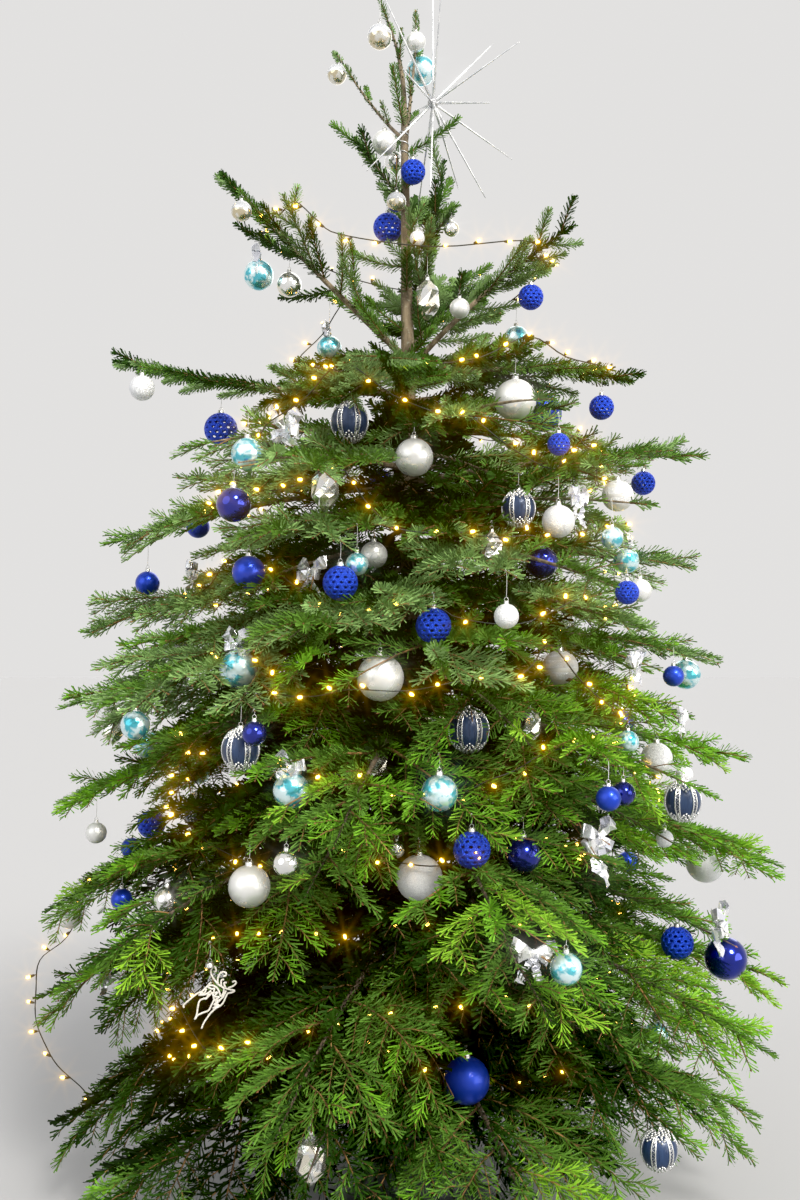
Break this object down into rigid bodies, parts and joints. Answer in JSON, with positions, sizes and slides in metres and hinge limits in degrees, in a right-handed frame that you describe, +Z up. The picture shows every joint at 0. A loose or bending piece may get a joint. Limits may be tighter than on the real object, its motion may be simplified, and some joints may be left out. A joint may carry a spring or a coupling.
{
  "type": "christmas tree",
  "caption": "Cut fir standing in a round bucket stand that clamps its trunk, with whorls of drooping needled boughs under an open top that forks into leaders.",
  "frame": {"origin": "on the floor, under the middle of the stand", "axes": "+Z up along the trunk, -Y towards the viewer of the picture, +X to the viewer's right"},
  "size_m": [1.4689, 1.4466, 2.4173],
  "materials": {
    "bark": "rough grey-brown bark, smoother and paler towards the top",
    "needles": "soft fir needles on brown twigs, yellow-green to blue-green",
    "stand_plastic": "dark moulded plastic with a slight sheen",
    "clamp_screws": "steel screw with a red handle"
  },
  "bodies": {
    "root": {"trunk": "bark", "stand_bucket": "stand_plastic", "clamp_screw_1": "clamp_screws", "clamp_screw_2": "clamp_screws", "clamp_screw_3": "clamp_screws", "clamp_screw_4": "clamp_screws", "bough_long_left": "bark", "bough_long_right": "bark", "bough_steep_left": "bark", "bough_steep_right": "bark", "foliage_tier_1_right": "needles", "foliage_tier_1_back_right": "needles", "foliage_tier_1_back_left": "needles", "foliage_tier_1_left": "needles", "foliage_tier_1_front_left": "needles", "foliage_tier_1_front_right": "needles", "foliage_tier_2_right": "needles", "foliage_tier_2_back_right": "needles", "foliage_tier_2_back_left": "needles", "foliage_tier_2_left": "needles", "foliage_tier_2_front_left": "needles", "foliage_tier_2_front_right": "needles", "foliage_tier_3_right": "needles", "foliage_tier_3_back_right": "needles", "foliage_tier_3_back_left": "needles", "foliage_tier_3_left": "needles", "foliage_tier_3_front_left": "needles", "foliage_tier_3_front_right": "needles", "foliage_tier_4_right": "needles", "foliage_tier_4_back_right": "needles", "foliage_tier_4_back_left": "needles", "foliage_tier_4_left": "needles", "foliage_tier_4_front_left": "needles", "foliage_tier_4_front_right": "needles", "foliage_tier_5_right": "needles", "foliage_tier_5_back": "needles", "foliage_tier_5_left": "needles", "foliage_tier_5_front_left": "needles", "foliage_tier_5_front_right": "needles", "foliage_tier_6_right": "needles", "foliage_tier_6_back": "needles", "foliage_tier_6_left": "needles", "foliage_tier_6_front": "needles", "foliage_tier_7_right": "needles", "foliage_tier_7_back": "needles", "foliage_tier_7_left": "needles", "foliage_tier_7_front": "needles", "foliage_long_left": "needles", "foliage_long_right": "needles", "foliage_long_front": "needles", "foliage_long_back": "needles", "foliage_steep_left": "needles", "foliage_steep_right": "needles", "foliage_steep_back": "needles", "foliage_upper_left": "needles", "foliage_upright_right": "needles", "foliage_upper_back": "needles", "foliage_leader_left": "needles", "foliage_leader_right": "needles", "foliage_leader_middle": "needles"}
  },
  "joints": []
}
